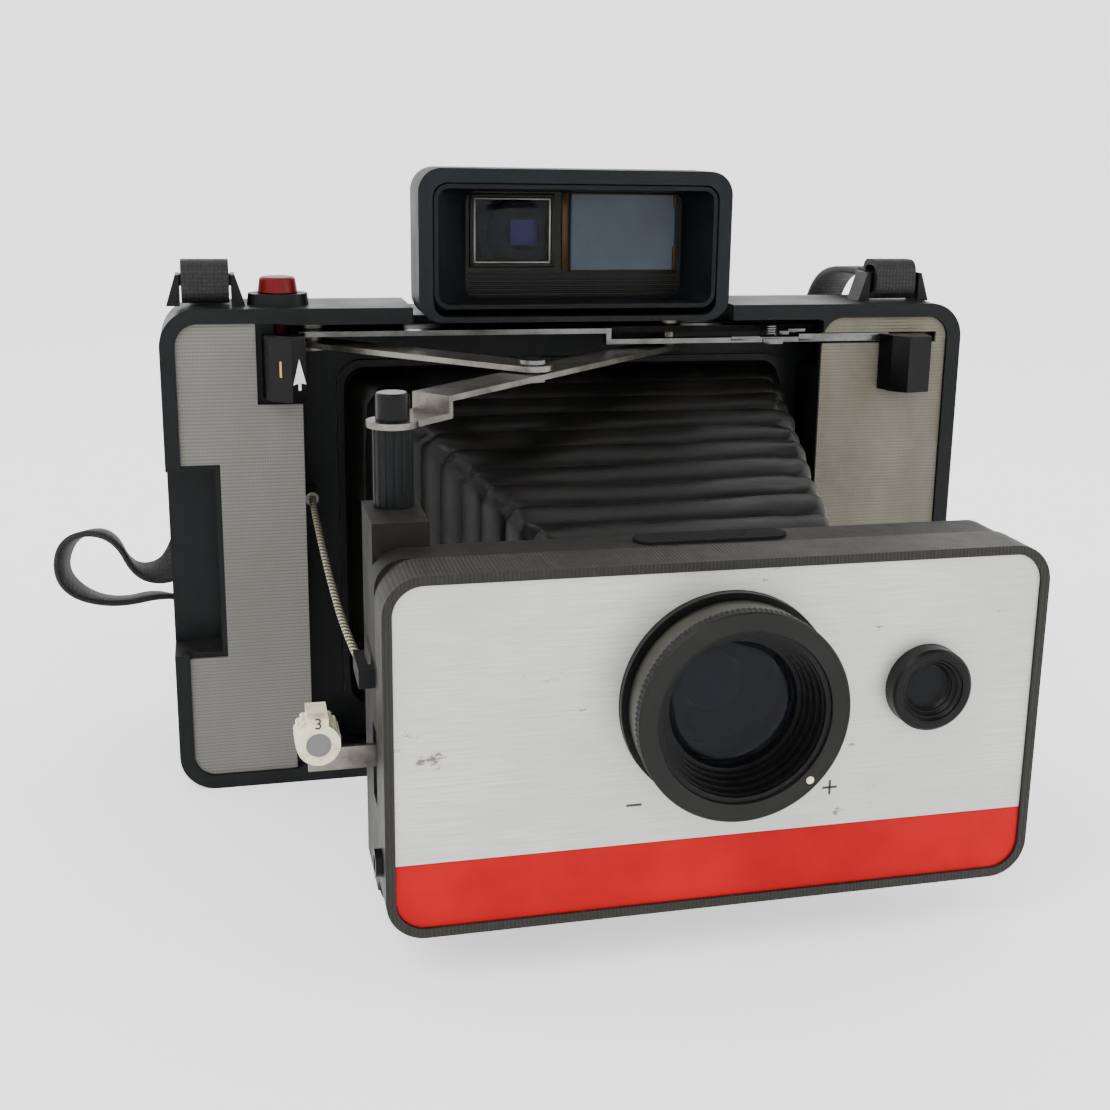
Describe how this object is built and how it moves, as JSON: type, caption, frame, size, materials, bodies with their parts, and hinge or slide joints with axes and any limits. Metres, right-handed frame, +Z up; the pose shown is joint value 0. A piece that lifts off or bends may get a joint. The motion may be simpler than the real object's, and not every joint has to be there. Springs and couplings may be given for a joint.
{
  "type": "folding instant camera",
  "caption": "Folding pack-film instant camera with strut-held bellows front, coupled rangefinder finder, sliding focus bar and neck strap.",
  "frame": {"origin": "middle of the base's front edge region: on the base plane, mid-body, at the front flange", "axes": "+Z up, -Y out of the lens, +X towards the viewer's right seen from the front"},
  "size_m": [0.2287, 0.2032, 0.1461],
  "materials": {
    "body_plastic": "satin",
    "trim_cloth": "fine ribbed matte",
    "strap_fabric": "woven matte",
    "strut_steel": "satin",
    "red_button": "satin",
    "red_enamel": "satin",
    "plate_metal": "brushed",
    "standard_plastic": "fine texture",
    "bellows_skin": "soft sheen",
    "cable_braid": "braided",
    "lens_black": "satin",
    "lens_glass": "coated",
    "window_glass": "frosted",
    "foam_black": "foam",
    "knob_cream": "satin",
    "door_paint": "satin",
    "spring_steel": "satin",
    "battery_can": "satin",
    "mirror_glass": "mirror"
  },
  "bodies": {
    "root": {"body_shell": "body_plastic", "left_trim_panel": "trim_cloth", "right_trim_panel": "trim_cloth", "strap_lugs": "body_plastic", "strap_loops": "strap_fabric", "neck_strap": "strap_fabric", "button_boss": "body_plastic", "slider_guides": "strut_steel", "hinge_pins": "strut_steel", "bellows_rear_frame": "lens_black", "bellows": "bellows_skin", "release_cable": "cable_braid", "cable_gland": "strut_steel", "finder_housing": "body_plastic", "finder_tunnel": "body_plastic", "finder_panel": "body_plastic", "finder_objective": "lens_glass", "finder_window": "window_glass", "eyepiece_frame": "body_plastic", "eyepiece_lens": "lens_glass", "roller_frame": "body_plastic", "battery": "battery_can", "door_hinge": "strut_steel"},
    "button": {"shutter_button": "red_button"},
    "short_arm": {"short_strut_upper": "strut_steel"},
    "short_arm_low": {"short_strut_lower": "strut_steel"},
    "long_arm": {"long_strut_upper": "strut_steel", "long_strut_lower": "strut_steel", "post": "strut_steel", "post_sleeve": "body_plastic", "post_cap": "body_plastic", "strut_rivets": "strut_steel", "slider_pins": "strut_steel"},
    "front": {"rear_housing": "standard_plastic", "front_cover": "standard_plastic", "faceplate": "plate_metal", "red_band": "red_enamel", "foam_strip": "foam_black", "lens_barrel": "lens_black", "front_lens": "lens_glass", "rear_lens": "lens_glass", "eye_ring": "lens_black", "eye_window": "lens_glass", "bellows_front_frame": "strut_steel", "flash_socket": "lens_black", "cable_anchor": "body_plastic"},
    "aperture_ring": {"exposure_ring": "lens_black"},
    "cocking": {"cocking_lever": "body_plastic", "cocking_knob": "knob_cream", "knob_disc": "strut_steel"},
    "blade_up": {"shutter_blade_upper": "lens_black"},
    "blade_low": {"shutter_blade_lower": "lens_black"},
    "focus_slide": {"focus_bar": "strut_steel", "focus_buttons": "body_plastic"},
    "mirror": {"range_mirror": "mirror_glass"},
    "back_door": {"film_door": "door_paint", "pressure_spring": "spring_steel"},
    "latch": {"door_latch": "body_plastic"},
    "roller_a": {"spread_roller_front": "spring_steel"},
    "roller_b": {"spread_roller_rear": "spring_steel"}
  },
  "joints": [
    {"name": "shutter_press", "type": "slide", "parent": "root", "child": "button", "axis": [0, 0, -1], "range_m": [0, 0.0022], "stiffness_N_per_m": 300},
    {"name": "fold", "type": "hinge", "parent": "root", "child": "short_arm", "pos_m": [-0.0633, 0.011, 0.1056], "axis": [0, 0, 1], "range_deg": [0, 40], "deforming": ["bellows", "release_cable"]},
    {"name": "fold_low", "type": "hinge", "parent": "root", "child": "short_arm_low", "pos_m": [-0.0633, 0.011, 0.006], "axis": [0, 0, 1], "range_deg": [0, 40]},
    {"name": "strut_scissor", "type": "hinge", "parent": "short_arm", "child": "long_arm", "pos_m": [-0.01981, -0.03249, 0.1048], "axis": [0, 0, 1], "range_deg": [-80, 0]},
    {"name": "standard_swing", "type": "hinge", "parent": "long_arm", "child": "front", "pos_m": [-0.05354, -0.06622, 0.045], "axis": [0, 0, 1], "range_deg": [0, 40]},
    {"name": "exposure_turn", "type": "hinge", "parent": "front", "child": "aperture_ring", "pos_m": [0.0038, -0.1052, 0.0535], "axis": [0, 1, 0], "range_deg": [-40, 40]},
    {"name": "cocking_turn", "type": "hinge", "parent": "front", "child": "cocking", "pos_m": [-0.054, -0.0823, 0.0406], "axis": [0, -1, 0], "range_deg": [0, 28], "stiffness_Nm_per_rad": 0.02},
    {"name": "blade_open", "type": "hinge", "parent": "front", "child": "blade_up", "pos_m": [-0.0052, -0.0862, 0.0595], "axis": [0, -1, 0], "range_deg": [0, 20], "stiffness_Nm_per_rad": 0.002},
    {"name": "blade_open_low", "type": "hinge", "parent": "front", "child": "blade_low", "pos_m": [-0.0052, -0.0854, 0.0475], "axis": [0, -1, 0], "range_deg": [-20, 0]},
    {"name": "focus", "type": "slide", "parent": "root", "child": "focus_slide", "axis": [1, 0, 0], "range_m": [0, 0.0065]},
    {"name": "mirror_turn", "type": "hinge", "parent": "root", "child": "mirror", "pos_m": [0.012, 0.027, 0.126], "axis": [0, 0, 1], "range_deg": [0, 3]},
    {"name": "door_open", "type": "hinge", "parent": "root", "child": "back_door", "pos_m": [0.0957, 0.0316, 0.055], "axis": [0, 0, -1], "range_deg": [0, 95], "deforming": ["neck_strap"]},
    {"name": "latch_slide", "type": "slide", "parent": "root", "child": "latch", "axis": [0, 0, -1], "range_m": [0, 0.003]},
    {"name": "roller_turn", "type": "hinge", "parent": "root", "child": "roller_a", "pos_m": [-0.08, 0.0259, 0.057], "axis": [0, 0, 1], "continuous": true},
    {"name": "roller_turn_rear", "type": "hinge", "parent": "root", "child": "roller_b", "pos_m": [-0.08, 0.0332, 0.057], "axis": [0, 0, 1], "continuous": true}
  ],
  "couplings": [
    {"joint": "fold_low", "follows": "fold", "ratio": 1},
    {"joint": "strut_scissor", "follows": "fold", "ratio": -2},
    {"joint": "standard_swing", "follows": "fold", "ratio": 1},
    {"joint": "blade_open_low", "follows": "blade_open", "ratio": -1},
    {"joint": "mirror_turn", "follows": "focus", "rad_per_m": 8.0554},
    {"joint": "roller_turn_rear", "follows": "roller_turn", "ratio": -1}
  ]
}
